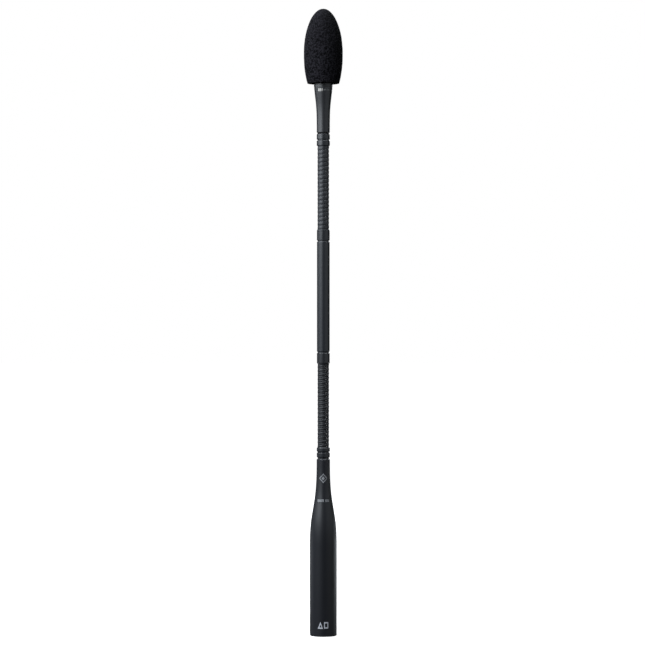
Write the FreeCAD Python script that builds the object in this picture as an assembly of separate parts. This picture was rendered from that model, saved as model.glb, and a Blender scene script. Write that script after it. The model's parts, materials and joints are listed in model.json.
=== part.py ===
import FreeCAD, Part
import math
import os

# Gooseneck podium microphone, in millimetres.
# The origin is the centre of the plug barrel's lower rim, +Z runs up the microphone, and its
# printed face looks towards -Y.

# ---- Driving dimensions -------------------------------------------------------------------------

# Plug barrel and tapered base
BARREL_R = 9.5
BARREL_TOP = 65.4
RIM_BEVEL = 0.5
SOCKET_R = 8.0
SOCKET_DEPTH = 14.0
INSERT_LENGTH = 10.0
CHAMBER_R = 7.6
CHAMBER_TOP = 66.0
NECK_R = 4.72
NECK_START = 119.7
BASE_TOP = 124.5
NECK_CHAMFER = 0.55
TAPER_LOW_HANDLE = 23.9
TAPER_HIGH_HANDLE = 29.3
NECK_BORE_R = 2.75
NECK_BORE_START = 106.0

# Plug contacts
PIN_R = 1.2
PIN_CIRCLE_R = 4.1
PIN_TIP = 1.6
GROUND_PIN_LEAD = 0.8
PIN_TAIL = 3.5
KEYWAY_WIDTH = 3.0
KEYWAY_DEPTH = 0.7
SCREW_R = 1.25
SCREW_HEIGHT = 19.0
SCREW_LENGTH = 2.7

# Circuit board in the barrel
BOARD_LOW = 30.0
BOARD_TOP = 64.0
BOARD_WIDTH = 13.0
BOARD_THICK = 1.0

# Cable inside the gooseneck
CABLE_R = 1.4
CABLE_ROOM_R = 1.7

# Gooseneck
COIL_PITCH = 2.95
TURNS_PER_LINK = 2
HINGES = 10
HINGE_TURN_DEG = 15.0
COIL_R = 4.05
COIL_GROOVE_R = 3.45
COIL_BORE_R = 2.0
COIL_SOCKET_R = 4.1
COIL_END_DEPTH = 2.4
HINGE_GAP = 0.05
HINGE_SPARE_DEG = 0.25
LINK_LENGTH = COIL_PITCH * TURNS_PER_LINK
FLEX_LENGTH = LINK_LENGTH * HINGES

# Collars, ferrules and the stiff tube between the two gooseneck stretches
BAND_R = 4.62
BAND_EDGE = 0.45
BAND_GROOVE_R = 4.0
BAND_GAP = 0.7
BASE_COLLAR_GAP = 1.1
BASE_COLLAR_SPIGOT = 6.5
BASE_BAND = 3.3
TOP_BAND = 3.7
BASE_COLLAR_TOP = 132.5
FERRULE_R = 4.5
FERRULE_LENGTH = 8.4
FERRULE_BAND = 7.7
TUBE_R = 4.47
TUBE_BORE_R = 3.5
TUBE_LENGTH = 77.8
TOP_COLLAR_LENGTH = 8.3
CONTACT_SEAT = 5.0
SEAT_WEB = 0.6

# Capsule module
HOUSING_FOOT_GAP = 0.8
HOUSING_R = 4.62
HOUSING_LENGTH = 31.9
HOUSING_MOUTH_R = 6.45
HOUSING_FOOT_CHAMFER = 0.5
HOUSING_STRAIGHT = 1.7
HOUSING_BORE_R = 5.6
COUPLING_R = 3.48
COUPLING_HEIGHT = 6.0
STUD_R = 2.8
STUD_LENGTH = 2.6
SEAL_R = 3.85
STUD_BORE_R = 1.3
STUD_SOCKET_R = 2.9
RING_R = 6.55
RING_SEAM = 0.4
RING_HEIGHT = 2.2
SLEEVE_R = 6.4
SLEEVE_WALL = 0.5
SLEEVE_HEIGHT = 14.0
VENT_SLOTS = 12
VENT_WIDTH = 1.3
GRILLE_HEIGHT = 13.0
GRILLE_WALL = 0.4
GRILLE_EDGE = 3.0
GRILLE_HOLE_R = 0.45
CAN_R = 4.95
CAN_HEIGHT = 14.0
CAN_WALL = 0.4

# Foam windscreen
FOAM_HEM_GAP = 0.2
FOAM_HEIGHT = 53.0
FOAM_R = 13.87
FOAM_WIDEST = 21.5
FOAM_HEM_R = 11.4
FOAM_HEM_EDGE = 0.4
FOAM_BORE_R = 6.5
FOAM_BORE_SPARE = 0.6

# ---- Heights worked out from them ---------------------------------------------------------------

LOWER_FLEX = BASE_COLLAR_TOP
LOWER_FERRULE = LOWER_FLEX + FLEX_LENGTH
TUBE_LOW = LOWER_FERRULE + FERRULE_LENGTH
TUBE_TOP = TUBE_LOW + TUBE_LENGTH
UPPER_FLEX = TUBE_TOP + FERRULE_LENGTH
TOP_COLLAR = UPPER_FLEX + FLEX_LENGTH
HOUSING_LOW = TOP_COLLAR + TOP_COLLAR_LENGTH + HOUSING_FOOT_GAP
HOUSING_TOP = HOUSING_LOW + HOUSING_LENGTH
RING_LOW = HOUSING_TOP + RING_SEAM
RING_TOP = RING_LOW + RING_HEIGHT
SLEEVE_TOP = RING_TOP + SLEEVE_HEIGHT
GRILLE_TOP = SLEEVE_TOP + GRILLE_HEIGHT
CAN_LOW = RING_TOP + 3.5
CAN_TOP = CAN_LOW + CAN_HEIGHT
FOAM_LOW = RING_TOP + FOAM_HEM_GAP
FOAM_TOP = FOAM_LOW + FOAM_HEIGHT
INSERT_TOP = SOCKET_DEPTH + INSERT_LENGTH

UP = FreeCAD.Vector(0, 0, 1)
HALF_ROOT = math.sqrt(0.5)
QUARTER_ROUND = 4 / 3 * (math.sqrt(2) - 1)


# ---- Shape helpers ------------------------------------------------------------------------------


def section_point(place):
    return FreeCAD.Vector(place[0], 0, place[1])


def turned(start, *steps):
    """Spins a closed outline about Z. A step is a point (radius, height), an arc [through, end],
    or a curve [handle, handle, end]."""
    edges = []
    here = start
    for step in steps + (start,):
        end = step[-1] if isinstance(step, list) else step
        stops = [section_point(here)]
        stops += [section_point(place) for place in (step if isinstance(step, list) else [step])]
        if len(stops) == 2:
            edges.append(Part.LineSegment(*stops).toShape())
        elif len(stops) == 3:
            edges.append(Part.Arc(*stops).toShape())
        else:
            curve = Part.BezierCurve()
            curve.setPoles(stops)
            edges.append(curve.toShape())
        here = end
    face = Part.Face(Part.Wire(edges))
    return face.revolve(FreeCAD.Vector(0, 0, 0), UP, 360)


def tube(outer, inner, low, high):
    return turned((inner, low), (outer, low), (outer, high), (inner, high))


def rod(radius, low, high, x=0.0, y=0.0):
    return Part.makeCylinder(radius, high - low, FreeCAD.Vector(x, y, low), UP)


def rod_between(radius, start, end):
    run = FreeCAD.Vector(*end) - FreeCAD.Vector(*start)
    return Part.makeCylinder(radius, run.Length, FreeCAD.Vector(*start), run)


def block(x_size, y_size, z_size, x, y, z):
    """A box centred on x and y, standing on z."""
    corner = FreeCAD.Vector(x - x_size / 2, y - y_size / 2, z)
    return Part.makeBox(x_size, y_size, z_size, corner)


def round_copies(shape, count):
    """Copies of a shape set evenly round the Z axis."""
    copies = []
    for number in range(count):
        copy = shape.copy()
        copy.rotate(FreeCAD.Vector(0, 0, 0), UP, 360.0 * number / count)
        copies.append(copy)
    return copies


def band(low, high, radius):
    """The outline of a raised ring with rounded shoulders, from its low edge to its high edge."""
    shoulder = radius - BAND_EDGE
    bulge = BAND_EDGE * HALF_ROOT
    low_end = low + BAND_EDGE
    high_end = high - BAND_EDGE
    return [
        (shoulder, low),
        [(shoulder + bulge, low_end - bulge), (radius, low_end)],
        (radius, high_end),
        [(shoulder + bulge, high_end + bulge), (shoulder, high)],
    ]


def save(name, *solids):
    shape = solids[0] if len(solids) == 1 else Part.makeCompound(list(solids))
    shape.exportStep(os.path.join("parts", name + ".step"))
    volume = sum(solid.Volume for solid in solids)
    print(f"{name}: {len(shape.Solids)} solid(s), {volume:.1f} mm3, valid {shape.isValid()}")


# ---- Base: plug, board and taper ----------------------------------------------------------------


def pin_places():
    """The three contacts of the plug: ground and hot side by side at the front, cold behind them."""
    names = {"pin_1_ground": 210, "pin_2_hot": 330, "pin_3_cold": 90}
    return {
        name: (PIN_CIRCLE_R * math.cos(math.radians(turn)), PIN_CIRCLE_R * math.sin(math.radians(turn)))
        for name, turn in names.items()
    }


def base_housing():
    shell = turned(
        (SOCKET_R, 0.0),
        (BARREL_R - RIM_BEVEL, 0.0),
        (BARREL_R, RIM_BEVEL),
        (BARREL_R, BARREL_TOP),
        [
            (BARREL_R, BARREL_TOP + TAPER_LOW_HANDLE),
            (NECK_R, NECK_START - TAPER_HIGH_HANDLE),
            (NECK_R, NECK_START),
        ],
        (NECK_R, BASE_TOP - NECK_CHAMFER),
        (NECK_R - NECK_CHAMFER, BASE_TOP),
        (NECK_BORE_R, BASE_TOP),
        (NECK_BORE_R, NECK_BORE_START),
        (CHAMBER_R, CHAMBER_TOP),
        (CHAMBER_R, INSERT_TOP),
        (SOCKET_R, INSERT_TOP),
    )
    keyway_reach = 2 * KEYWAY_DEPTH
    keyway_y = SOCKET_R + KEYWAY_DEPTH - keyway_reach / 2
    keyway = block(KEYWAY_WIDTH, keyway_reach, SOCKET_DEPTH, 0, keyway_y, 0)
    screw_hole = rod_between(SCREW_R, (0, CHAMBER_R - 1, SCREW_HEIGHT), (0, BARREL_R + 1, SCREW_HEIGHT))
    return shell.cut(keyway).cut(screw_hole)


def xlr_insert():
    disc = rod(SOCKET_R - 0.02, SOCKET_DEPTH, INSERT_TOP)
    for x, y in pin_places().values():
        disc = disc.cut(rod(PIN_R, SOCKET_DEPTH, INSERT_TOP, x, y))
    screw_seat = BARREL_R - SCREW_LENGTH - 0.3
    return disc.cut(rod_between(SCREW_R, (0, screw_seat, SCREW_HEIGHT), (0, BARREL_R, SCREW_HEIGHT)))


def contact_pin(x, y, tip):
    """A turned pin with a rounded nose below, and a solder cup above the insert."""
    tail_top = INSERT_TOP + PIN_TAIL
    nose = PIN_R * HALF_ROOT
    pin = turned(
        (0.0, tip),
        [(nose, tip + PIN_R - nose), (PIN_R, tip + PIN_R)],
        (PIN_R, tail_top),
        (PIN_R - 0.35, tail_top),
        (PIN_R - 0.35, tail_top - 2.0),
        (0.0, tail_top - 2.0),
    )
    pin.translate(FreeCAD.Vector(x, y, 0))
    return pin


def insert_screw():
    head = BARREL_R - 0.3
    body = rod_between(SCREW_R, (0, head - SCREW_LENGTH, SCREW_HEIGHT), (0, head, SCREW_HEIGHT))
    hexagon = Part.makePolygon(
        [
            FreeCAD.Vector(
                0.65 * math.cos(math.radians(turn)),
                head,
                SCREW_HEIGHT + 0.65 * math.sin(math.radians(turn)),
            )
            for turn in range(0, 361, 60)
        ]
    )
    return body.cut(Part.Face(hexagon).extrude(FreeCAD.Vector(0, -1.2, 0)))


def output_wires():
    """Three short leads from the solder cups to the pads at the foot of the board."""
    wires = []
    for x, y in pin_places().values():
        cup = INSERT_TOP + PIN_TAIL - 1.0
        side = 1.0 if y > 0 else -1.0
        pad = (x, side * (BOARD_THICK / 2 + 0.55), BOARD_LOW + 5.0)
        wires.append(rod_between(0.45, (x, y, cup), pad))
    return wires


def board_capacitors():
    """Three can capacitors lying on the back of the board."""
    centre_y = BOARD_THICK / 2 + 2.5
    return [rod(2.5, low, low + 7.0, x, centre_y) for x, low in ((-2.8, 40.0), (2.8, 40.0), (0.0, 50.0))]


def board_chips():
    """Two amplifier chips and a row of small parts on the front of the board."""
    face = -BOARD_THICK / 2
    chips = [block(4.9, 1.6, 3.9, 0.0, face - 0.8, low) for low in (39.0, 48.0)]
    for low in (36.0, 45.0, 54.0, 57.5):
        chips += [block(1.2, 0.6, 2.0, x, face - 0.3, low) for x in (-4.6, 4.6)]
    return chips


def cable_grommet():
    """A rubber tube that holds the cable in the middle of the neck's bore."""
    low = NECK_BORE_START + 2
    return tube(NECK_BORE_R - 0.02, CABLE_R + 0.02, low, low + 7)


def base_collar():
    """The two-band ferrule that screws into the neck and grips the foot of the gooseneck."""
    foot = BASE_TOP - BASE_COLLAR_SPIGOT
    first_band = BASE_TOP + BASE_COLLAR_GAP
    groove = first_band + BASE_BAND
    return turned(
        (CABLE_ROOM_R, foot),
        (NECK_BORE_R - 0.1, foot),
        (NECK_BORE_R - 0.1, BASE_TOP),
        (BAND_GROOVE_R, BASE_TOP),
        (BAND_GROOVE_R, first_band),
        *band(first_band, groove, BAND_R),
        (BAND_GROOVE_R, groove),
        (BAND_GROOVE_R, groove + BAND_GAP),
        *band(groove + BAND_GAP, BASE_COLLAR_TOP, BAND_R),
        (COIL_SOCKET_R, BASE_COLLAR_TOP),
        (COIL_SOCKET_R, BASE_COLLAR_TOP - COIL_END_DEPTH),
        (CABLE_ROOM_R, BASE_COLLAR_TOP - COIL_END_DEPTH),
    )


# ---- Gooseneck ----------------------------------------------------------------------------------


def face_lift(radius):
    """How far a link's end cone stands back from its hinge, so that two cones close at full bend."""
    return HINGE_GAP + radius * math.tan(math.radians(HINGE_TURN_DEG / 2 + HINGE_SPARE_DEG))


def ridges(low, first, last, count):
    """Rounded wire turns, from the height `first` at the bottom to `last` at the top."""
    steps = []
    for number in range(count):
        crown = (COIL_R, low + COIL_PITCH * (number + 0.5))
        end = last if number == count - 1 else low + COIL_PITCH * (number + 1)
        steps.append([crown, (COIL_GROOVE_R, end)])
    return [(COIL_GROOVE_R, first)] + steps


def gooseneck_link(low):
    """One length of coil between two bending points, with a cone at each end."""
    high = low + LINK_LENGTH
    rim = face_lift(COIL_GROOVE_R)
    bore = face_lift(COIL_BORE_R)
    return turned(
        (COIL_BORE_R, low + bore),
        *ridges(low, low + rim, high - rim, TURNS_PER_LINK),
        (COIL_BORE_R, high - bore),
    )


def gooseneck_end(mouth):
    """The half link at the foot of a gooseneck stretch, with its end turn set in the ferrule below."""
    hinge = mouth + COIL_PITCH
    rim = face_lift(COIL_GROOVE_R)
    return turned(
        (COIL_BORE_R, mouth - COIL_END_DEPTH),
        (COIL_R, mouth - COIL_END_DEPTH),
        (COIL_R, mouth),
        *ridges(mouth, mouth, hinge - rim, 1),
        (COIL_BORE_R, hinge - face_lift(COIL_BORE_R)),
    )


def turned_over(shape, low, high):
    """The same piece upside down, with its two ends' heights changed over."""
    copy = shape.copy()
    copy.rotate(FreeCAD.Vector(0, 0, (low + high) / 2), FreeCAD.Vector(1, 0, 0), 180)
    return copy


def save_gooseneck(name, foot):
    """A stretch of gooseneck: an end piece, the links, and an end piece turned over."""
    top = foot + FLEX_LENGTH
    save(name + "_tail", gooseneck_end(foot))
    for number in range(1, HINGES):
        save(f"{name}_link_{number}", gooseneck_link(foot + COIL_PITCH + LINK_LENGTH * (number - 1)))
    save(name + "_head", turned_over(gooseneck_end(foot), foot, top))


def ferrule(mouth):
    """A ferrule with its gooseneck mouth down at `mouth` and its spigot up in the stiff tube."""
    shoulder = mouth + FERRULE_BAND
    tube_end = mouth + FERRULE_LENGTH
    spigot_top = tube_end + 7.0
    return turned(
        (COIL_SOCKET_R, mouth),
        (COIL_SOCKET_R + 0.1, mouth),
        (FERRULE_R, mouth + 0.8),
        (FERRULE_R, shoulder - 0.3),
        (FERRULE_R - 0.3, shoulder),
        (BAND_GROOVE_R, shoulder),
        (BAND_GROOVE_R, tube_end),
        (TUBE_BORE_R - 0.02, tube_end),
        (TUBE_BORE_R - 0.02, spigot_top),
        (CABLE_ROOM_R, spigot_top),
        (CABLE_ROOM_R, mouth + COIL_END_DEPTH),
        (COIL_SOCKET_R, mouth + COIL_END_DEPTH),
    )


def middle_tube():
    edge = 0.6
    bulge = edge * HALF_ROOT
    shoulder = TUBE_R - edge
    return turned(
        (TUBE_BORE_R, TUBE_LOW),
        (shoulder, TUBE_LOW),
        [(shoulder + bulge, TUBE_LOW + edge - bulge), (TUBE_R, TUBE_LOW + edge)],
        (TUBE_R, TUBE_TOP - edge),
        [(shoulder + bulge, TUBE_TOP - edge + bulge), (shoulder, TUBE_TOP)],
        (TUBE_BORE_R, TUBE_TOP),
    )


def top_collar():
    """The two-band ferrule at the head of the gooseneck, with the threaded socket for the capsule."""
    top = TOP_COLLAR + TOP_COLLAR_LENGTH
    coil_end = TOP_COLLAR + COIL_END_DEPTH
    seat = TOP_COLLAR + CONTACT_SEAT + SEAT_WEB
    groove = TOP_COLLAR + TOP_BAND
    return turned(
        (COIL_SOCKET_R, TOP_COLLAR),
        *band(TOP_COLLAR, groove, BAND_R),
        (BAND_GROOVE_R, groove),
        (BAND_GROOVE_R, groove + BAND_GAP),
        *band(groove + BAND_GAP, top, BAND_R),
        (STUD_SOCKET_R, top),
        (STUD_SOCKET_R, seat),
        (CABLE_ROOM_R, seat),
        (CABLE_ROOM_R, coil_end),
        (COIL_SOCKET_R, coil_end),
    )


def socket_insulator():
    low = TOP_COLLAR + CONTACT_SEAT + SEAT_WEB
    return tube(STUD_SOCKET_R - 0.02, 0.6, low, low + 0.8)


def spring_contact():
    """A small sprung plunger that touches the capsule's centre pin."""
    low = TOP_COLLAR + CONTACT_SEAT
    return turned(
        (0.0, low),
        (0.58, low),
        (0.58, low + 1.5),
        (0.4, low + 1.5),
        (0.4, low + 1.6),
        [(0.4 * HALF_ROOT, low + 1.6 + 0.4 * HALF_ROOT), (0.0, low + 2.0)],
    )


# ---- Capsule module -----------------------------------------------------------------------------


def capsule_coupling():
    """The threaded stud below the capsule housing, fixed in the housing's bore."""
    stud_low = HOUSING_LOW - STUD_LENGTH
    return turned(
        (STUD_BORE_R, stud_low),
        (STUD_R - 0.3, stud_low),
        (STUD_R, stud_low + 0.3),
        (STUD_R, HOUSING_LOW),
        (COUPLING_R, HOUSING_LOW),
        (COUPLING_R, HOUSING_LOW + COUPLING_HEIGHT),
        (STUD_BORE_R, HOUSING_LOW + COUPLING_HEIGHT),
    )


def contact_insulator():
    low = HOUSING_LOW - STUD_LENGTH + 0.1
    return tube(STUD_BORE_R - 0.02, 0.52, low, HOUSING_LOW + COUPLING_HEIGHT - 0.5)


def module_contact_pin():
    low = TOP_COLLAR + CONTACT_SEAT + 2.02
    return rod(0.5, low, HOUSING_LOW + COUPLING_HEIGHT + 2.0)


def stud_ring():
    """The rubber ring round the stud, squeezed between the collar and the housing."""
    middle = HOUSING_LOW - HOUSING_FOOT_GAP / 2
    return Part.makeTorus(SEAL_R, HOUSING_FOOT_GAP / 2 - 0.05, FreeCAD.Vector(0, 0, middle), UP)


def capsule_housing():
    """A slim turned shell that swells in one smooth curve from the collar to the grille ring."""
    curve_start = HOUSING_LOW + HOUSING_STRAIGHT
    return turned(
        (TUBE_BORE_R, HOUSING_LOW),
        (HOUSING_R - HOUSING_FOOT_CHAMFER, HOUSING_LOW),
        (HOUSING_R, HOUSING_LOW + HOUSING_FOOT_CHAMFER),
        (HOUSING_R, curve_start),
        [
            (HOUSING_R, curve_start + 19.3),
            (HOUSING_MOUTH_R - 1.1, HOUSING_TOP - 12.0),
            (HOUSING_MOUTH_R, HOUSING_TOP),
        ],
        (HOUSING_BORE_R, HOUSING_TOP),
        (HOUSING_BORE_R, HOUSING_TOP - 2.2),
        (TUBE_BORE_R, HOUSING_TOP - 16.5),
    )


def grille_ring():
    neck = HOUSING_BORE_R - 0.02
    return turned(
        (4.9, HOUSING_TOP - 2.0),
        (neck, HOUSING_TOP - 2.0),
        (neck, HOUSING_TOP),
        (RING_R - 0.4, HOUSING_TOP),
        (RING_R - 0.4, RING_LOW),
        (RING_R, RING_LOW),
        (RING_R, RING_TOP),
        (4.9, RING_TOP),
    )


def rear_vent_sleeve():
    """A slotted sleeve that lets sound reach the back of the capsule."""
    sleeve = tube(SLEEVE_R, SLEEVE_R - SLEEVE_WALL, RING_TOP, SLEEVE_TOP)
    slot = block(2.0, VENT_WIDTH, SLEEVE_HEIGHT - 4.0, SLEEVE_R - 0.3, 0, RING_TOP + 2.0)
    return sleeve.cut(Part.makeCompound(round_copies(slot, VENT_SLOTS)))


def front_grille():
    """A domed cap with rings of sound holes in its top and slots down its side."""
    inner = SLEEVE_R - GRILLE_WALL
    bulge = GRILLE_EDGE * HALF_ROOT
    inner_edge = GRILLE_EDGE - GRILLE_WALL
    inner_bulge = inner_edge * HALF_ROOT
    flat = SLEEVE_R - GRILLE_EDGE
    turn_start = GRILLE_TOP - GRILLE_EDGE
    cap = turned(
        (inner, SLEEVE_TOP),
        (SLEEVE_R, SLEEVE_TOP),
        (SLEEVE_R, turn_start),
        [(flat + bulge, turn_start + bulge), (flat, GRILLE_TOP)],
        (0.0, GRILLE_TOP),
        (0.0, GRILLE_TOP - GRILLE_WALL),
        (flat, GRILLE_TOP - GRILLE_WALL),
        [(flat + inner_bulge, turn_start + inner_bulge), (inner, turn_start)],
    )
    holes = [rod(GRILLE_HOLE_R, GRILLE_TOP - 1, GRILLE_TOP + 1)]
    for ring, count in ((1.4, 6), (2.8, 12)):
        holes += round_copies(rod(GRILLE_HOLE_R, GRILLE_TOP - 1, GRILLE_TOP + 1, ring), count)
    slot = block(2.0, VENT_WIDTH, GRILLE_HEIGHT - GRILLE_EDGE - 2.5, SLEEVE_R - 0.3, 0, SLEEVE_TOP + 1.5)
    return cap.cut(Part.makeCompound(holes + round_copies(slot, VENT_SLOTS)))


def acoustic_screen():
    """A thin cup of woven mesh behind the slots."""
    outer = SLEEVE_R - SLEEVE_WALL - 0.02
    wall = 0.12
    top = GRILLE_TOP - GRILLE_EDGE
    return turned(
        (outer - wall, RING_TOP),
        (outer, RING_TOP),
        (outer, top),
        (0.0, top),
        (0.0, top - wall),
        (outer - wall, top - wall),
    )


def isolation_rings():
    """Two soft rings that hold the capsule clear of its sleeve."""
    outer = SLEEVE_R - SLEEVE_WALL - 0.16
    return [tube(outer, CAN_R + 0.01, low, low + 2.0) for low in (CAN_LOW + 1.5, CAN_TOP - 4.0)]


def capsule_can():
    can = turned(
        (CAN_R - CAN_WALL, CAN_LOW),
        (CAN_R, CAN_LOW),
        (CAN_R, CAN_TOP),
        (0.0, CAN_TOP),
        (0.0, CAN_TOP - 0.5),
        (CAN_R - CAN_WALL, CAN_TOP - 0.5),
    )
    holes = [rod(0.5, CAN_TOP - 1, CAN_TOP + 1)]
    holes += round_copies(rod(0.5, CAN_TOP - 1, CAN_TOP + 1, 2.4), 6)
    return can.cut(Part.makeCompound(holes))


def backplate():
    plate = rod(4.2, CAN_TOP - 2.9, CAN_TOP - 1.9)
    return plate.cut(Part.makeCompound(round_copies(rod(0.4, CAN_TOP - 4, CAN_TOP - 1, 2.4), 6)))


# ---- Foam windscreen ----------------------------------------------------------------------------


def foam_windscreen():
    """An egg of foam: a flat hem, a quarter ellipse above its widest height, and a bore inside."""
    widest = FOAM_LOW + FOAM_WIDEST
    dome = FOAM_TOP - widest
    edge_low = FOAM_LOW + FOAM_HEM_EDGE
    edge_bulge = FOAM_HEM_EDGE * (1 - HALF_ROOT)
    bore_top = GRILLE_TOP + FOAM_BORE_SPARE
    return turned(
        (FOAM_BORE_R, FOAM_LOW),
        (FOAM_HEM_R - FOAM_HEM_EDGE, FOAM_LOW),
        [(FOAM_HEM_R - edge_bulge, FOAM_LOW + edge_bulge), (FOAM_HEM_R, edge_low)],
        [(FOAM_HEM_R + 2.0, edge_low + 6.8), (FOAM_R, widest - 7.0), (FOAM_R, widest)],
        [(FOAM_R, widest + QUARTER_ROUND * dome), (QUARTER_ROUND * FOAM_R, FOAM_TOP), (0.0, FOAM_TOP)],
        (0.0, bore_top),
        (FOAM_BORE_R - GRILLE_EDGE, bore_top),
        [
            (FOAM_BORE_R - GRILLE_EDGE * (1 - HALF_ROOT), bore_top - GRILLE_EDGE * (1 - HALF_ROOT)),
            (FOAM_BORE_R, bore_top - GRILLE_EDGE),
        ],
    )


# ---- Write every piece --------------------------------------------------------------------------


def save_base():
    save("base_housing", base_housing())
    save("xlr_insert", xlr_insert())
    for name, (x, y) in pin_places().items():
        lead = GROUND_PIN_LEAD if name == "pin_1_ground" else 0.0
        save(name, contact_pin(x, y, PIN_TIP - lead))
    save("insert_screw", insert_screw())
    save("output_wires", *output_wires())
    save("preamp_board", block(BOARD_WIDTH, BOARD_THICK, BOARD_TOP - BOARD_LOW, 0, 0, BOARD_LOW))
    save("board_capacitors", *board_capacitors())
    save("board_chips", *board_chips())
    save("cable_grommet", cable_grommet())
    save("base_collar", base_collar())
    save("lower_cable", rod(CABLE_R, BOARD_TOP, LOWER_FERRULE + COIL_END_DEPTH))


def save_middle():
    lower = ferrule(LOWER_FERRULE)
    save("lower_ferrule", lower)
    save("middle_tube", middle_tube())
    save("upper_ferrule", turned_over(lower, LOWER_FERRULE, UPPER_FLEX))
    save("middle_cable", rod(CABLE_R, LOWER_FERRULE + COIL_END_DEPTH, UPPER_FLEX - COIL_END_DEPTH))
    save("upper_cable", rod(CABLE_R, UPPER_FLEX - COIL_END_DEPTH, TOP_COLLAR + CONTACT_SEAT))


def save_top():
    save("top_collar", top_collar())
    save("socket_insulator", socket_insulator())
    save("spring_contact", spring_contact())


def save_capsule():
    save("capsule_coupling", capsule_coupling())
    save("contact_insulator", contact_insulator())
    save("module_contact_pin", module_contact_pin())
    save("stud_ring", stud_ring())
    save("capsule_housing", capsule_housing())
    save("grille_ring", grille_ring())
    save("rear_vent_sleeve", rear_vent_sleeve())
    save("front_grille", front_grille())
    save("acoustic_screen", acoustic_screen())
    save("isolation_rings", *isolation_rings())
    save("capsule_can", capsule_can())
    save("converter_board", rod(CAN_R - CAN_WALL - 0.02, CAN_LOW + 0.5, CAN_LOW + 1.5))
    save("backplate", backplate())
    save("diaphragm_ring", tube(CAN_R - CAN_WALL - 0.02, 3.9, CAN_TOP - 1.5, CAN_TOP - 0.6))
    save("diaphragm", rod(4.4, CAN_TOP - 1.62, CAN_TOP - 1.52))


def main():
    os.makedirs("parts", exist_ok=True)
    save_base()
    save_gooseneck("lower_gooseneck", LOWER_FLEX)
    save_middle()
    save_gooseneck("upper_gooseneck", UPPER_FLEX)
    save_top()
    save_capsule()
    save("foam_windscreen", foam_windscreen())
    print(f"lower flex {LOWER_FLEX:.2f} to {LOWER_FERRULE:.2f}")
    print(f"upper flex {UPPER_FLEX:.2f} to {TOP_COLLAR:.2f}")
    print(f"capsule housing {HOUSING_LOW:.2f} to {HOUSING_TOP:.2f}, grille top {GRILLE_TOP:.2f}")
    print(f"windscreen {FOAM_LOW:.2f} to {FOAM_TOP:.2f}")


main()
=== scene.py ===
# %% [markdown]
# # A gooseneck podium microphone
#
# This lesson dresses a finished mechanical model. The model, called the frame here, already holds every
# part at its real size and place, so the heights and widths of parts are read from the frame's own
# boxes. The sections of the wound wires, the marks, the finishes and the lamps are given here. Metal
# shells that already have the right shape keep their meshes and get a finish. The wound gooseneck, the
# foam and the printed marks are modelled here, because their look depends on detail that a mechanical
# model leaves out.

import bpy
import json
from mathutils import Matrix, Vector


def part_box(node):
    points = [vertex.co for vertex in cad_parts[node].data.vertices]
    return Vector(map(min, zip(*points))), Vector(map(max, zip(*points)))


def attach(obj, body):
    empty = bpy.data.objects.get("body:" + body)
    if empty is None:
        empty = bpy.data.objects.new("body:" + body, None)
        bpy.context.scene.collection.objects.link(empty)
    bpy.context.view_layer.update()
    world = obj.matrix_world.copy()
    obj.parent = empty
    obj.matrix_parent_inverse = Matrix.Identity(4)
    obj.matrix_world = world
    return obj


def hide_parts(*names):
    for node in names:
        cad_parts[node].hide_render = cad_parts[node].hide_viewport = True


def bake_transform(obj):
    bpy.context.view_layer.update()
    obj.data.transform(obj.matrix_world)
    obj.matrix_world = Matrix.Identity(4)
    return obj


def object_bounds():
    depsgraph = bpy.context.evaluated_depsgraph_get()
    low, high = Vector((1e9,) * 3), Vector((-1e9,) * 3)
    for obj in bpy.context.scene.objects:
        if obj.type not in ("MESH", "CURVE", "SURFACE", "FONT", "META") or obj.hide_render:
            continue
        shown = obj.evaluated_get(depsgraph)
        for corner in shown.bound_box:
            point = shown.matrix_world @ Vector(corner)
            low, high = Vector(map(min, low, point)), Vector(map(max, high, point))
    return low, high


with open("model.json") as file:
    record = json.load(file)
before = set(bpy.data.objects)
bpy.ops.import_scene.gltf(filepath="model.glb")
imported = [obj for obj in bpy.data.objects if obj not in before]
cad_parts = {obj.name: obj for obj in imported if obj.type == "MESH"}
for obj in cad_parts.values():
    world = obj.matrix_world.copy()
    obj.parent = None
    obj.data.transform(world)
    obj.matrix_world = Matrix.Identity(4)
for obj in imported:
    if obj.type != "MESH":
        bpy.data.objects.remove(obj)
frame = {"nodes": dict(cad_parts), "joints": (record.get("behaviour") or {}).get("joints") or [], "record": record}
cad_low, cad_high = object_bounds()

# %% Other modules and units
import bmesh
import bpy
import json
import math

from mathutils import Vector

MM = 0.001
TURN = 2 * math.pi
print("the object is", round((cad_high.z - cad_low.z) / MM, 1), "mm tall")


# %% Heights and widths from the frame
def foot(part):
    """The lowest height of a part, in metres."""
    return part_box(part)[0][2]


def top(part):
    """The highest height of a part, in metres."""
    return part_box(part)[1][2]


def radius(part):
    """Half of a round part's width, in metres."""
    low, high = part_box(part)
    return (high[0] - low[0]) / 2


HEIGHT = cad_high.z - cad_low.z
MIDDLE = (cad_high.z + cad_low.z) / 2
print("barrel", round(radius("base_housing") / MM, 2), "mm in radius")

# %% [markdown]
# ## Numbers that vary over a surface
#
# A finish is worked out point by point: how glossy, how dark, how raised. Blender does this sum with
# nodes, which are slow to read one by one. The small class below lets the sum be written as ordinary
# arithmetic. Each operation adds one Math node behind the scenes. Any other node comes from one method,
# `Finish.node`, which first sets the node's own options and then fills or links its sockets.


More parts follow.
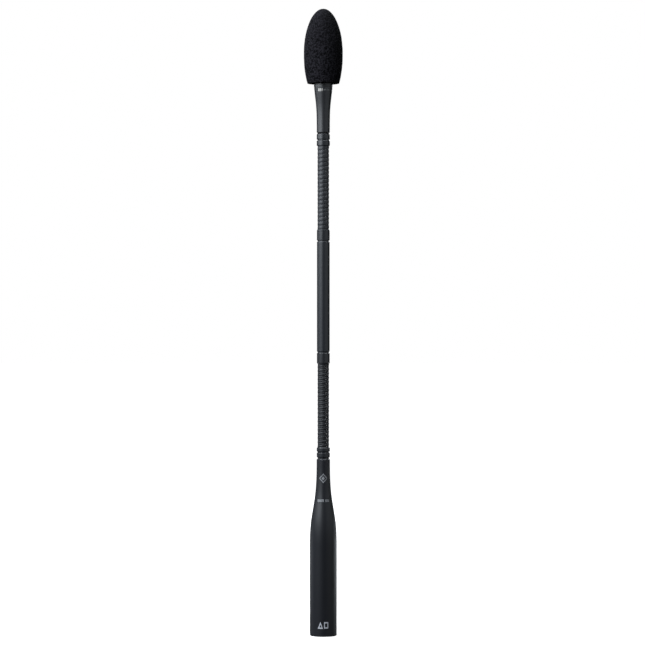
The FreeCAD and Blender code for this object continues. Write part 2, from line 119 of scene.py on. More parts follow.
# %% Arithmetic on sockets
class Signal:
    """One value that varies over a surface. Arithmetic on signals adds Math nodes."""

    def __init__(self, graph, socket):
        self.graph = graph
        self.socket = socket

    def math(self, operation, first, second=0.0):
        return self.graph.node("ShaderNodeMath", {"operation": operation}, {0: first, 1: second})

    def __add__(self, other):
        return self.math("ADD", self, other)

    def __sub__(self, other):
        return self.math("SUBTRACT", self, other)

    def __rsub__(self, other):
        return self.math("SUBTRACT", other, self)

    def __mul__(self, other):
        return self.math("MULTIPLY", self, other)

    def __truediv__(self, other):
        return self.math("DIVIDE", self, other)

    def __rtruediv__(self, other):
        return self.math("DIVIDE", other, self)

    __radd__ = __add__
    __rmul__ = __mul__

    def wave(self):
        """A sine of this value, from -1 to 1."""
        return self.math("SINE", self)

    def size(self):
        """This value without its sign."""
        return self.math("ABSOLUTE", self)

    def capped(self):
        """This value, or 1 where it is more."""
        return self.math("MINIMUM", self, 1.0)

    def above(self, low, high):
        """0 where this value is under low, 1 where it is over high, and a soft ramp between them."""
        settings = {"interpolation_type": "SMOOTHSTEP"}
        sockets = {"Value": self, "From Min": low, "From Max": high}
        return self.graph.node("ShaderNodeMapRange", settings, sockets)


# %% Node trees built by expressions
class Graph:
    """A node tree. A finish and a shape recipe are both built with it."""

    def __init__(self, tree):
        self.nodes = tree.nodes
        self.links = tree.links

    def fill(self, socket, value):
        """Links a signal to a socket, or sets the socket to a plain value."""
        if isinstance(value, Signal):
            self.links.new(value.socket, socket)
        elif isinstance(value, tuple) and len(socket.default_value) == 4:
            socket.default_value = (*value[:3], 1.0)
        else:
            socket.default_value = value

    def node(self, kind, settings, sockets, output=0):
        """Adds a node: its options first, then its sockets. Returns one of its outputs."""
        node = self.nodes.new(kind)
        for option, value in settings.items():
            setattr(node, option, value)
        for name, value in sockets.items():
            self.fill(node.inputs[name], value)
        return Signal(self, node.outputs[output])

    def axes(self, vector):
        """The three parts of a vector."""
        split = self.node("ShaderNodeSeparateXYZ", {}, {0: vector}).socket.node
        return [Signal(self, socket) for socket in split.outputs]

    def vector(self, x, y, z):
        """A vector from three numbers."""
        return self.node("ShaderNodeCombineXYZ", {}, {0: x, 1: y, 2: z})


class Finish(Graph):
    """A material. Its patterns are sized in millimetres and fixed to the object."""

    def __init__(self, name):
        self.material = bpy.data.materials.new(name)
        self.material.use_nodes = True
        super().__init__(self.material.node_tree)
        self.shader = self.nodes["Principled BSDF"]
        self.place = self.node("ShaderNodeTexCoord", {}, {}, "Object")

    def millimetres(self):
        """The three coordinates of a point."""
        return [part / MM for part in self.axes(self.place)]

    def stretched(self, stretch):
        """The place of a point, for a pattern stretched along x, y and z."""
        settings = {"vector_type": "TEXTURE"}
        return self.node("ShaderNodeMapping", settings, {"Vector": self.place, "Scale": stretch})

    def noise(self, size_mm, detail=2.0, stretch=None):
        """Soft random patches about size_mm across, from 0 to 1."""
        place = self.stretched(stretch) if stretch else self.place
        sockets = {"Vector": place, "Scale": 1 / (size_mm * MM), "Detail": detail}
        return self.node("ShaderNodeTexNoise", {}, sockets)

    def cells(self, size_mm, feature="F1"):
        """The distance from the nearest of many scattered points, about 0 to 1."""
        sockets = {"Vector": self.place, "Scale": 1 / (size_mm * MM)}
        return self.node("ShaderNodeTexVoronoi", {"feature": feature}, sockets, "Distance")

    def stored(self, name):
        """A number that the mesh itself carries."""
        return self.node("ShaderNodeAttribute", {"attribute_name": name}, {}, "Fac")

    def blend(self, share, first, second):
        """The colour first where share is 0, second where it is 1. Mix's colour sockets are 6 and 7."""
        return self.node("ShaderNodeMix", {"data_type": "RGBA"}, {0: share, 6: first, 7: second}, 2)

    def bump(self, height, depth_mm, strength=1.0):
        """Tilts the surface as if height, from 0 to 1, stood depth_mm tall."""
        sockets = {"Height": height, "Distance": depth_mm * MM, "Strength": strength}
        self.fill(self.shader.inputs["Normal"], self.node("ShaderNodeBump", {}, sockets))

    def surface(self, **values):
        """Sets the shader's sockets by name, with underscores for spaces."""
        for name, value in values.items():
            self.fill(self.shader.inputs[name.replace("_", " ")], value)


print("arithmetic nodes are ready")

# %% [markdown]
# ## Satin black paint
#
# The barrel, collars, ferrules, tube and capsule housing are turned metal with a thin satin paint. On
# the real thing it isn't one flat black. It has a very fine orange peel from the spray, long soft
# patches where fingers have polished it, and at sharp edges it wears through to a greyer primer. The
# function makes one such paint. Its colour, gloss and edge heights differ from part to part: the neck
# parts' paints are a little lighter, bluer and glossier than the barrel's.

# %% Paint
PEEL_MM = 0.22
PATCH_MM = 9.0
DUST_MM = 0.6


def satin_paint(name, colour, worn, roughness, edges=(), peel_depth=0.003, specular=0.5):
    """Sprayed paint. Edges are heights in metres round which it's rubbed."""
    paint = Finish(name)
    peel = paint.noise(PEEL_MM, 1.0)
    patches = paint.noise(PATCH_MM, 3.0, (1.0, 1.0, 2.5))
    dust = paint.noise(DUST_MM, 4.0)
    height = paint.millimetres()[2]
    rubbed = dust.above(0.62, 0.8) * 0.25
    for edge in edges:
        near = 1 - (height - edge / MM).size().above(0.05, 0.55)
        rubbed = rubbed + near * dust.above(0.3, 0.7) * 0.75
    paint.surface(
        Base_Color=paint.blend(rubbed.capped(), colour, worn),
        Roughness=roughness + patches * 0.06 - rubbed * 0.05,
        Specular_IOR_Level=specular,
    )
    paint.bump(peel, peel_depth, 0.6)
    return paint.material


def band_edges(part):
    """Heights of a part's two rims."""
    return (foot(part), top(part))


BARREL_RIM = foot("base_housing") + 0.5 * MM
barrel_paint = satin_paint(
    "barrel_paint", (0.0125, 0.0136, 0.018), (0.05, 0.052, 0.056), 0.4, [BARREL_RIM], specular=0.44
)
FERRULES = ("base_collar", "lower_ferrule", "upper_ferrule", "top_collar")
ferrule_paint = satin_paint(
    "ferrule_paint",
    (0.021, 0.023, 0.027),
    (0.085, 0.088, 0.095),
    0.33,
    [height for part in FERRULES for height in band_edges(part)],
)
tube_paint = satin_paint(
    "tube_paint", (0.021, 0.024, 0.029), (0.08, 0.085, 0.095), 0.36, band_edges("middle_tube")
)
housing_paint = satin_paint(
    "housing_paint", (0.024, 0.025, 0.028), (0.085, 0.086, 0.09), 0.37, band_edges("capsule_housing")
)
RING_EDGES = band_edges("grille_ring")
ring_paint = satin_paint("ring_paint", (0.02, 0.02, 0.022), (0.09, 0.09, 0.092), 0.4, RING_EDGES)
grille_paint = satin_paint("grille_paint", (0.012, 0.012, 0.013), (0.05, 0.05, 0.052), 0.5)
print("six paints")

# %% [markdown]
# ## Blackened coil wire
#
# The gooseneck's wires are blackened steel. Their crowns are smoother than the grooves and are painted
# a little greyer, partly rub wear from hands and clips and partly a painted highlight, while the grooves
# are painted dark as painted shade. The distance from the neck's centreline tells a crown from a groove,
# so the finish asks the mesh for it: each wire piece carries a number named `crown`, because that
# distance would change when the neck bends. The lower stretch has a darker and duller finish than the
# upper one; its darker colour is painted shade.

# %% Coil finish
def coil_finish(name, groove_shade, crown, roughness):
    wire = Finish(name)
    raised = wire.stored("crown")
    scuffs = wire.noise(0.5, 4.0)
    # The colour below runs from the dark groove colour to the greyer crown colour: painted shade in the grooves,
    # and rub wear with a painted highlight on the crowns.
    rubbed = raised.above(0.15, 0.75) * (0.85 + scuffs * 0.3)
    wire.surface(
        Base_Color=wire.blend(rubbed.capped(), groove_shade, crown),
        Metallic=0.1,
        Roughness=roughness + 0.2 * (1 - raised.above(0.2, 0.9)) + scuffs * 0.06,
    )
    wire.bump(wire.noise(0.3, 1.0), 0.0015, 0.4)
    return wire.material


coil_steel = coil_finish("coil_steel", (0.014, 0.0145, 0.016), (0.03, 0.032, 0.037), 0.4)
# The lower stretch's wire finish is a darker and duller copy: its darker colour is a painted shade.
shaded_dull_coil_steel = coil_finish("shaded_dull_coil_steel", (0.01, 0.0105, 0.0115), (0.019, 0.0205, 0.024), 0.46)
COIL_STEELS = {"lower": shaded_dull_coil_steel, "upper": coil_steel}
print(len(COIL_STEELS), "wire finishes")

# %% [markdown]
# ## Foam
#
# The windscreen is open-cell polyurethane foam, dyed black. Each cell is a tiny hole between struts.
# Deep inside a hole hardly any light comes back, while the struts at the skin catch a little. Geometry
# further down presses the larger cells into the mesh and stores how deep each point lies under the name
# `pore`. The material darkens its colour with it, a painted shade in the cells, and adds the finest cells as bump.

# %% Foam finish
def foam_finish():
    foam = Finish("foam")
    pore = foam.stored("pore")
    fine = foam.cells(0.42)
    dye = foam.noise(7.0, 3.0)
    tufts = foam.noise(1.2, 2.0)
    # The deeper a point lies in a cell, the darker its colour: a painted shade in the cells. The dye and tuft
    # patches are the foam's own uneven tone.
    pore_shade_and_dye = (1 - pore * 0.8) * (0.2 + dye * 0.5 + tufts.above(0.36, 0.64) * 0.6)
    foam.surface(
        Base_Color=foam.blend(pore_shade_and_dye.above(0.15, 1.0), (0.0008, 0.0008, 0.001), (0.024, 0.0225, 0.0275)),
        Roughness=0.7 + fine * 0.2 + pore * 0.1,
        Specular_IOR_Level=0.03,
    )
    foam.bump(fine, 0.12, 0.7)
    return foam.material


foam_black = foam_finish()
print("foam")

# %% [markdown]
# ## Contacts, brass, plastics and rubber
#
# These finishes are on the small parts: the plug's gold-plated pins, its moulded insert, the threaded
# stud, the rubber rings and the parts inside the capsule. Turned parts show fine rings from the tool,
# which are a quick wave along their height. Moulded parts show a dull, slightly pitted skin.

# %% Small metals
def turned_metal(name, colour, dark, roughness, ring_mm=0.12, ring_depth=0.004, metallic=1.0):
    """Bright turned metal with tool rings, thin tarnish and fine scratches."""
    metal = Finish(name)
    height = metal.millimetres()[2]
    rings = (height * (TURN / ring_mm)).wave()
    tarnish = metal.noise(1.6, 4.0)
    scratches = metal.noise(0.25, 2.0, (1.0, 1.0, 8.0))
    metal.surface(
        Base_Color=metal.blend(tarnish.above(0.45, 0.8), colour, dark),
        Metallic=metallic,
        Roughness=roughness + tarnish * 0.14 + scratches * 0.06,
    )
    metal.bump(rings * 0.5 + 0.5 + scratches * 0.4, ring_depth, 0.5)
    return metal.material


gold_plating = turned_metal("gold_plating", (0.86, 0.62, 0.26), (0.6, 0.4, 0.16), 0.16)
stud_brass = turned_metal("stud_brass", (0.68, 0.5, 0.24), (0.36, 0.25, 0.12), 0.28, 0.75, 0.12)
capsule_metal = turned_metal("capsule_metal", (0.7, 0.7, 0.71), (0.42, 0.42, 0.43), 0.25)
capacitor_can = turned_metal("capacitor_can", (0.62, 0.62, 0.64), (0.3, 0.3, 0.31), 0.3)
screw_steel = turned_metal("screw_steel", (0.06, 0.06, 0.065), (0.03, 0.03, 0.032), 0.35, 0.45, 0.05)
print("five metals")


# %% Plastics, rubber and film
def moulded(name, colour, pale, roughness, grain_mm=0.12, depth=0.01, specular=0.4):
    """A moulded skin: fine grain, soft patches and a paler bloom."""
    skin = Finish(name)
    grain = skin.noise(grain_mm, 2.0)
    bloom = skin.noise(3.0, 4.0)
    skin.surface(
        Base_Color=skin.blend(bloom.above(0.5, 0.85), colour, pale),
        Roughness=roughness + bloom * 0.12,
        Specular_IOR_Level=specular,
    )
    skin.bump(grain, depth, 0.6)
    return skin.material


insert_plastic = moulded("insert_plastic", (0.012, 0.012, 0.013), (0.03, 0.03, 0.031), 0.45)
black_rubber = moulded("black_rubber", (0.008, 0.008, 0.008), (0.02, 0.02, 0.02), 0.7, 0.2, 0.02, 0.25)
cable_sleeve = moulded("cable_sleeve", (0.014, 0.014, 0.015), (0.03, 0.03, 0.03), 0.4, 0.3, 0.01)
chip_plastic = moulded("chip_plastic", (0.015, 0.015, 0.016), (0.04, 0.04, 0.04), 0.55, 0.08, 0.01)
diaphragm_film = moulded("diaphragm_film", (0.75, 0.6, 0.3), (0.8, 0.7, 0.45), 0.15, 0.6, 0.02)
print("five moulded skins")

# %% [markdown]
# ## The circuit board and its wires
#
# These are hidden inside the barrel, and show only when it's opened, so their finishes are simple
# but true: a green lacquered laminate with paler copper tracks under the lacquer, and three thin wires
# in red, white and black. One material colours all three wires by their place across the barrel.


# %% Board, tracks and wires
def board_finish():
    board = Finish("board_laminate")
    across, _, height = board.millimetres()
    strands = (across * 3.1).wave().above(0.55, 0.75)
    tracks = strands * (height * 0.8 + board.noise(4.0) * 6).wave().above(0.0, 0.2)
    board.surface(
        Base_Color=board.blend(tracks, (0.008, 0.05, 0.02), (0.02, 0.12, 0.045)),
        Roughness=0.22 + board.noise(1.2) * 0.15,
        Coat_Weight=0.4,
    )
    board.bump(tracks, 0.02, 0.8)
    return board.material


def wire_finish():
    wire = Finish("wire_sleeve")
    across = wire.millimetres()[0]
    red_or_white = wire.blend(across.above(-1.5, -1.2), (0.42, 0.02, 0.015), (0.6, 0.6, 0.57))
    wire.surface(
        Base_Color=wire.blend(across.above(1.2, 1.5), red_or_white, (0.02, 0.02, 0.02)),
        Roughness=0.32 + wire.noise(0.8) * 0.15,
    )
    wire.bump(wire.noise(0.4), 0.01, 0.5)
    return wire.material


board_laminate = board_finish()
wire_sleeve = wire_finish()
print("board and wires")

# %% [markdown]
# ## The woven screen
#
# Behind the grille's holes lies a fine cloth that keeps dust off the capsule. Two crossing waves, one
# round the neck and one along it, give the over-and-under of its threads.


# %% Screen cloth
def screen_finish():
    cloth = Finish("screen_mesh")
    across, depth, height = cloth.millimetres()
    angle = cloth.node("ShaderNodeMath", {"operation": "ARCTAN2"}, {0: depth, 1: across})
    threads_per_turn = 150
    thread_mm = 0.25
    warp = (angle * threads_per_turn).wave()
    weft = (height * (TURN / thread_mm)).wave()
    weave = warp * weft * 0.5 + 0.5
    cloth.surface(
        Base_Color=cloth.blend(weave, (0.004, 0.004, 0.004), (0.03, 0.03, 0.032)),
        Roughness=0.75 + weave * 0.15,
    )
    cloth.bump(weave, 0.04, 0.9)
    return cloth.material


screen_mesh = screen_finish()
print("screen cloth")

# %% [markdown]
# ## Give every carried part its finish
#
# The frame's record names a material slot for each part. The slot's name picks the finish.

# %% Assign the finishes
FINISHES = {
    "barrel_paint": barrel_paint,
    "ferrule_paint": ferrule_paint,
    "tube_paint": tube_paint,
    "housing_paint": housing_paint,
    "ring_paint": ring_paint,
    "grille_paint": grille_paint,
    "coil_steel": coil_steel,
    "contact_plating": gold_plating,
    "stud_brass": stud_brass,
    "screw_steel": screw_steel,
    "insert_plastic": insert_plastic,
    "wire_sleeve": wire_sleeve,
    "cable_sleeve": cable_sleeve,
    "board_laminate": board_laminate,
    "capacitor_can": capacitor_can,
    "chip_plastic": chip_plastic,
    "black_rubber": black_rubber,
    "screen_mesh": screen_mesh,
    "capsule_metal": capsule_metal,
    "diaphragm_film": diaphragm_film,
    "foam": foam_black,
}
for subpart in frame["record"]["subparts"]:
    frame["nodes"][subpart["node"]].material_slots[0].material = FINISHES[subpart["material_slot"]]
print(len(FINISHES), "finishes on", len(frame["nodes"]), "parts")

# %% [markdown]
# ## Recipes for shapes
#
# What repeats or follows a path is made by Geometry Nodes. A recipe is a node tree with named inputs
# for its sizes. `Recipe.make` runs it once on an empty mesh, or on a given one, and hands back a plain
# mesh, because a mesh that bends with the neck must be finished first.


# %% A Geometry Nodes tree with named inputs
class Recipe(Graph):
    """A shape worked out by Geometry Nodes."""

    def __init__(self, name, inputs):
        self.tree = bpy.data.node_groups.new(name, "GeometryNodeTree")
        super().__init__(self.tree)
        face = self.tree.interface
        face.new_socket("Geometry", in_out="OUTPUT", socket_type="NodeSocketGeometry")
        face.new_socket("Geometry", in_out="INPUT", socket_type="NodeSocketGeometry")
        self.keys = {}
        for label, kind in inputs.items():
            item = face.new_socket(label, in_out="INPUT", socket_type="NodeSocket" + kind)
            self.keys[label] = item.identifier
        self.source = self.nodes.new("NodeGroupInput")

    def given(self, label):
        """The value of a named input."""
        return Signal(self, self.source.outputs[label])

    def place(self):
        """The place of each point."""
        return self.node("GeometryNodeInputPosition", {}, {})

    def store(self, geometry, name, value):
        """Writes a number on every point."""
        settings = {"data_type": "FLOAT", "domain": "POINT"}
        sockets = {"Geometry": geometry, "Name": name, "Value": value}
        return self.node("GeometryNodeStoreNamedAttribute", settings, sockets)

    def serve(self, geometry):
        """Ends the recipe with real geometry in its finish."""
        real = self.node("GeometryNodeRealizeInstances", {}, {"Geometry": geometry})
        done = self.node(
            "GeometryNodeSetMaterial", {}, {"Geometry": real, "Material": self.given("Finish")}
        )
        self.fill(self.nodes.new("NodeGroupOutput").inputs["Geometry"], done)
        return self

    def make(self, name, values, start=None):
        """Runs the recipe and returns its result as a plain mesh object."""
        carrier = bpy.data.objects.new("carrier", start or bpy.data.meshes.new("start"))
        bpy.context.scene.collection.objects.link(carrier)
        modifier = carrier.modifiers.new("recipe", "NODES")
        modifier.node_group = self.tree
        for label, value in values.items():
            modifier[self.keys[label]] = value
        scene_graph = bpy.context.evaluated_depsgraph_get()
        shape = bpy.data.meshes.new_from_object(
            carrier.evaluated_get(scene_graph), preserve_all_data_layers=True, depsgraph=scene_graph
        )
        bpy.data.objects.remove(carrier)
        return add_object(name, shape)


def add_object(name, mesh):
    """Puts a mesh in the scene."""
    shape = bpy.data.objects.new(name, mesh)
    bpy.context.scene.collection.objects.link(shape)
    return shape


print("recipes can be written")

# %% [markdown]
# ## The gooseneck's two wires
#
# A gooseneck is not a tube with grooves. It is two wires wound together: a round spring wire, and a
# wedge-shaped wire pressed between its turns, with its flat side out. Friction between them holds any
# bend. Both follow the same rule, a helix, so one recipe makes both and only the section differs. The
# round wire is drawn with a broad, flattened crown. In the upper stretch it fills most of a turn, and in
# the lower one the two wires are nearly as wide as each other.
#
# The neck bends at ten places in each stretch, and a mesh may bend between two bodies only, so each
# wire is made in ten lengths. Each length is wound one step too long at both ends and trimmed, so that
# the section at a joint points exactly along the helix, and the next length starts from the same ring.
#
# `crown` is stored for the finish: 0 in the groove, 1 at the outermost line of the wire.

# %% Sizes of the winding
NECK_FINISH_MM = 0.95
HINGES = sum(joint["name"].startswith("lower_") for joint in frame["joints"])
RIDGE_WIDTHS = {"lower": 0.9 * MM, "upper": 1.42 * MM}
RIDGE_DEPTH = 0.98 * MM
CREST = radius("lower_gooseneck_link_5")
RIDGE_PATH = CREST - RIDGE_DEPTH
RIDGE_SQUARENESS = 4.0
WEDGE_WIDTHS = {"lower": 1.2 * MM, "upper": 0.74 * MM}
WEDGE_HEIGHTS = {"lower": 0.5 * MM, "upper": 0.24 * MM}
WEDGE_FACE = CREST - 0.12 * MM
WEDGE_ROUNDING = 0.04 * MM
TURNS_PER_LENGTH = 2
SOCKETED_TURNS = 0.75
STEPS_PER_TURN = 44
print("wires reach", round(CREST / MM, 2), "mm from the centreline,", HINGES, "hinges a stretch")


# %% Wire sections
def round_section(wire, stretch):
    """A circle pressed towards a square, so that its crown is broad. Its own size is 1 all round."""
    sockets = {"Resolution": 32, "Radius": 1.0}
    unit = wire.node("GeometryNodeCurvePrimitiveCircle", {"mode": "RADIUS"}, sockets)
    out, along, _ = [part.size() for part in wire.axes(wire.place())]
    power = RIDGE_SQUARENESS
    swell = out.math("POWER", out, power) + along.math("POWER", along, power)
    scale = swell.math("POWER", swell, -1 / power)
    place = wire.node("ShaderNodeVectorMath", {"operation": "SCALE"}, {0: wire.place(), "Scale": scale})
    squared = wire.node("GeometryNodeSetPosition", {}, {"Geometry": unit, "Position": place})
    sockets = {"Geometry": squared, "Scale": (RIDGE_DEPTH, RIDGE_WIDTHS[stretch], 1.0)}
    return wire.node("GeometryNodeTransform", {}, sockets)


def wedge_section(wire, stretch):
    """A triangle with rounded corners and its flat side outwards."""
    unit = wire.node("GeometryNodeCurvePrimitiveCircle", {"mode": "RADIUS"}, {"Resolution": 3, "Radius": 1.0})
    unit_height = 1.5
    unit_width = math.sqrt(3)
    scale = (-WEDGE_HEIGHTS[stretch] / unit_height, WEDGE_WIDTHS[stretch] / unit_width, 1.0)
    sized = wire.node("GeometryNodeTransform", {}, {"Geometry": unit, "Scale": scale})
    sockets = {"Curve": sized, "Count": 2, "Radius": WEDGE_ROUNDING}
    return wire.node("GeometryNodeFilletCurve", {"mode": "POLY"}, sockets)


def sleeve_section(wire, stretch):
    """A circle as wide as the stretch's cable."""
    sockets = {"Resolution": 16, "Radius": radius(f"{stretch}_cable")}
    return wire.node("GeometryNodeCurvePrimitiveCircle", {"mode": "RADIUS"}, sockets)


# %% The winding recipe
def winding(section, stretch):
    """A wire on a helix from one height to another, trimmed to exact end rings."""
    wire = Recipe(
        f"{stretch}_{section.__name__}",
        {
            "Low": "Float",
            "High": "Float",
            "Pitch": "Float",
            "Coil Radius": "Float",
            "Start Angle": "Float",
            "Step": "Float",
            "Finish": "Material",
        },
    )
    low, high, step = wire.given("Low"), wire.given("High"), wire.given("Step")
    line = wire.node(
        "GeometryNodeCurvePrimitiveLine",
        {},
        {"Start": wire.vector(0.0, 0.0, low - step), "End": wire.vector(0.0, 0.0, high + step)},
    )
    settings = {"mode": "COUNT"}
    count = (high - low) / step + 3.5
    points = wire.node("GeometryNodeResampleCurve", settings, {"Curve": line, "Count": count})
    height = wire.axes(wire.place())[2]
    marked = wire.store(points, "height", height)
    angle = height * TURN / wire.given("Pitch") + wire.given("Start Angle")
    reach = wire.given("Coil Radius")
    east = angle.math("COSINE", angle) * reach
    north = angle.wave() * reach
    helix = wire.node(
        "GeometryNodeSetPosition", {}, {"Geometry": marked, "Position": wire.vector(east, north, height)}
    )
    upright = wire.node("GeometryNodeSetCurveNormal", {"mode": "Z_UP"}, {"Curve": helix})
    swept = wire.node(
        "GeometryNodeCurveToMesh", {}, {"Curve": upright, "Profile Curve": section(wire, stretch)}
    )
    stored = wire.node("GeometryNodeInputNamedAttribute", {"data_type": "FLOAT"}, {"Name": "height"})
    outside = (stored - (low + high) / 2).size() - (high - low) / 2 - step / 2
    trimmed = wire.node(
        "GeometryNodeDeleteGeometry",
        {"domain": "POINT", "mode": "ALL"},
        {"Geometry": swept, "Selection": outside.math("GREATER_THAN", outside, 0.0)},
    )
    x, y, _ = wire.axes(wire.place())
    distance = x.math("SQRT", x * x + y * y)
    crowned = wire.store(trimmed, "crown", distance.above(CREST - NECK_FINISH_MM * MM, CREST))
    return wire.serve(wire.node("GeometryNodeSetShadeSmooth", {}, {"Geometry": crowned}))


SECTIONS = {"round": round_section, "wedge": wedge_section, "sleeve": sleeve_section}
WINDINGS = {
    (stretch, kind): winding(section, stretch)
    for stretch in COIL_STEELS
    for kind, section in SECTIONS.items()
}
print(len(WINDINGS), "winding recipes")


# %% Close the ends of a length
def close_ends(piece):
    """Caps the two open rings of a swept length, with a sharp rim."""
    shape = bmesh.new()
    shape.from_mesh(piece.data)
    rims = [edge for edge in shape.edges if edge.is_boundary]
    caps = bmesh.ops.holes_fill(shape, edges=rims, sides=0)["faces"]
    for cap in caps:
        cap.smooth = False
        for edge in cap.edges:
            edge.smooth = False
    bmesh.ops.recalc_face_normals(shape, faces=shape.faces)
    shape.to_mesh(piece.data)
    shape.free()
    piece.data.update()
    return len(caps)


MOUTHS = {
    "lower": (top("base_collar"), foot("lower_ferrule")),
    "upper": (top("upper_ferrule"), foot("top_collar")),
}
LENGTH = (MOUTHS["lower"][1] - MOUTHS["lower"][0]) / HINGES
PITCH = LENGTH / TURNS_PER_LENGTH
STEP = PITCH / STEPS_PER_TURN
SOCKETED = SOCKETED_TURNS * PITCH
print("pitch", round(PITCH / MM, 3), "mm")

# %% [markdown]
# Each length reaches over the two bodies on either side of its hinge, and the hinge lies at its
# middle. The first and last lengths also reach down into the collars that hold the neck.


# %% Wind both stretches
def wind(stretch, label, recipe, reach, start_angle, finish, ends):
    """Ten lengths of one wire. ends are the heights where it starts and stops."""
    mouth = MOUTHS[stretch][0]
    pieces = []
    for number in range(1, HINGES + 1):
        bend_low = mouth + LENGTH * (number - 1)
        bend_high = bend_low + LENGTH
        low = ends[0] if number == 1 else bend_low
        high = ends[1] if number == HINGES else bend_high
        piece = recipe.make(
            f"{stretch}_{label}_{number:02d}",
            {
                "Low": low,
                "High": high,
                "Pitch": PITCH,
                "Coil Radius": reach,
                "Start Angle": start_angle - mouth * TURN / PITCH,
                "Step": STEP,
                "Finish": finish,
            },
        )
        close_ends(piece)
        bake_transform(piece)
        pieces.append(piece)
    return pieces


SEAM = TURN / 4
for stretch, (low, high) in MOUTHS.items():
    ends = (low - SOCKETED, high + SOCKETED)
    steel = COIL_STEELS[stretch]
    round_winding, wedge_winding = WINDINGS[stretch, "round"], WINDINGS[stretch, "wedge"]
    rounds = wind(stretch, "round_wire", round_winding, RIDGE_PATH, SEAM, steel, ends)
    reach = WEDGE_FACE - WEDGE_HEIGHTS[stretch] / 3
    wind(stretch, "wedge_wire", wedge_winding, reach, SEAM + TURN / 2, steel, ends)
    hidden = [f"{stretch}_gooseneck_{name}" for name in ("tail", "head")]
    hidden += [f"{stretch}_gooseneck_link_{number}" for number in range(1, HINGES)]
    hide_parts(*hidden)
    print(stretch, "stretch:", len(rounds), "lengths of", len(rounds[0].data.polygons), "faces")

# %% Thread the cable through
for stretch in MOUTHS:
    ends = (foot(f"{stretch}_cable"), top(f"{stretch}_cable"))
    sleeve_winding = WINDINGS[stretch, "sleeve"]
    sleeves = wind(stretch, "cable_sleeve", sleeve_winding, 0.0, 0.0, cable_sleeve, ends)
    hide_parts(f"{stretch}_cable")
    print(stretch, "cable:", len(sleeves), "lengths")

# %% [markdown]
# ## The foam windscreen
#
# The windscreen is an egg of open-cell foam, cut from a block, with a flat hem below and a bore that
# grips the grille. Its outline is turned first. A voxel remesh then gives it an even skin fine enough
# to press cells into. A recipe sinks two sizes of cell into that skin along its normals, with a slow
# unevenness under them, and stores how deep each point lies for the finish.

# %% Sizes of the windscreen
FOAM_LOW, FOAM_TOP = foot("foam_windscreen"), top("foam_windscreen")
FOAM_RADIUS = radius("foam_windscreen")
FOAM_WIDEST = FOAM_LOW + 21.5 * MM
HEM_RADIUS = 11.4 * MM
HEM_EDGE = 0.4 * MM
BORE_RADIUS = radius("front_grille") + 0.1 * MM
BORE_TOP = top("front_grille") + 0.6 * MM
BORE_EDGE = 3.0 * MM
SKIN_VOXEL = 0.24 * MM
print("windscreen", round((FOAM_TOP - FOAM_LOW) / MM, 1), "mm tall")


# %% Curves of an outline
def bezier(start, first_handle, second_handle, end, steps):
    """Points on a Bezier curve, without its start."""
    points = []
    for step in range(1, steps + 1):
        t = step / steps
        weights = ((1 - t) ** 3, 3 * t * (1 - t) ** 2, 3 * t * t * (1 - t), t**3)
        corners = (start, first_handle, second_handle, end)
        points.append(tuple(sum(w * corner[axis] for w, corner in zip(weights, corners)) for axis in (0, 1)))
    return points


def turned(name, outline, segments, material):
    """A closed solid of revolution from an outline of (radius, height) points."""
    shape = bmesh.new()
    loops = []
    for reach, height in outline:
        if reach < 1e-7:
            loops.append([shape.verts.new((0.0, 0.0, height))])
            continue
        turns = [TURN * index / segments for index in range(segments)]
        loops.append([shape.verts.new((reach * math.cos(a), reach * math.sin(a), height)) for a in turns])
    for lower, upper in zip(loops, loops[1:] + loops[:1]):
        if len(lower) == len(upper) == 1:
            continue
        for index in range(segments):
            following = (index + 1) % segments
            corners = [lower[index % len(lower)], lower[following % len(lower)]]
            corners += [upper[following % len(upper)], upper[index % len(upper)]]
            shape.faces.new(list(dict.fromkeys(corners)))
    bmesh.ops.recalc_face_normals(shape, faces=shape.faces)
    for face in shape.faces:
        face.smooth = True
    mesh = bpy.data.meshes.new(name)
    shape.to_mesh(mesh)
    shape.free()
    mesh.materials.append(material)
    return add_object(name, mesh)


# %% Turn the egg
def foam_outline():
    """The egg from the bore's foot, out along the hem, over the dome and back down the bore."""
    kappa = 4 / 3 * (math.sqrt(2) - 1)
    edge_low = FOAM_LOW + HEM_EDGE
    dome = FOAM_TOP - FOAM_WIDEST
    hem = (HEM_RADIUS - HEM_EDGE, FOAM_LOW)
    rim = (HEM_RADIUS, edge_low)
    widest = (FOAM_RADIUS, FOAM_WIDEST)
    crown = (0.0, FOAM_TOP)
    outline = [(BORE_RADIUS, FOAM_LOW), hem]
    hem_handle = (hem[0] + kappa * HEM_EDGE, FOAM_LOW)
    outline += bezier(hem, hem_handle, (HEM_RADIUS, edge_low - kappa * HEM_EDGE), rim, 6)
    outline += bezier(
        rim, (HEM_RADIUS + 2 * MM, edge_low + 6.8 * MM), (FOAM_RADIUS, FOAM_WIDEST - 7 * MM), widest, 24
    )
    outline += bezier(
        widest, (FOAM_RADIUS, FOAM_WIDEST + kappa * dome), (kappa * FOAM_RADIUS, FOAM_TOP), crown, 40
    )
    outline += [(0.0, BORE_TOP), (BORE_RADIUS - BORE_EDGE, BORE_TOP)]
    shoulder = (BORE_RADIUS - BORE_EDGE, BORE_TOP)
    wall = (BORE_RADIUS, BORE_TOP - BORE_EDGE)
    shoulder_handle = (shoulder[0] + kappa * BORE_EDGE, BORE_TOP)
    outline += bezier(shoulder, shoulder_handle, (BORE_RADIUS, wall[1] + kappa * BORE_EDGE), wall, 8)
    return outline


egg = turned("egg", foam_outline(), 128, foam_black)
remesh = egg.modifiers.new("even skin", "REMESH")
remesh.mode = "VOXEL"
remesh.voxel_size = SKIN_VOXEL
scene_graph = bpy.context.evaluated_depsgraph_get()
skin = bpy.data.meshes.new_from_object(egg.evaluated_get(scene_graph))
bpy.data.objects.remove(egg)
print("an even skin of", len(skin.polygons), "faces")


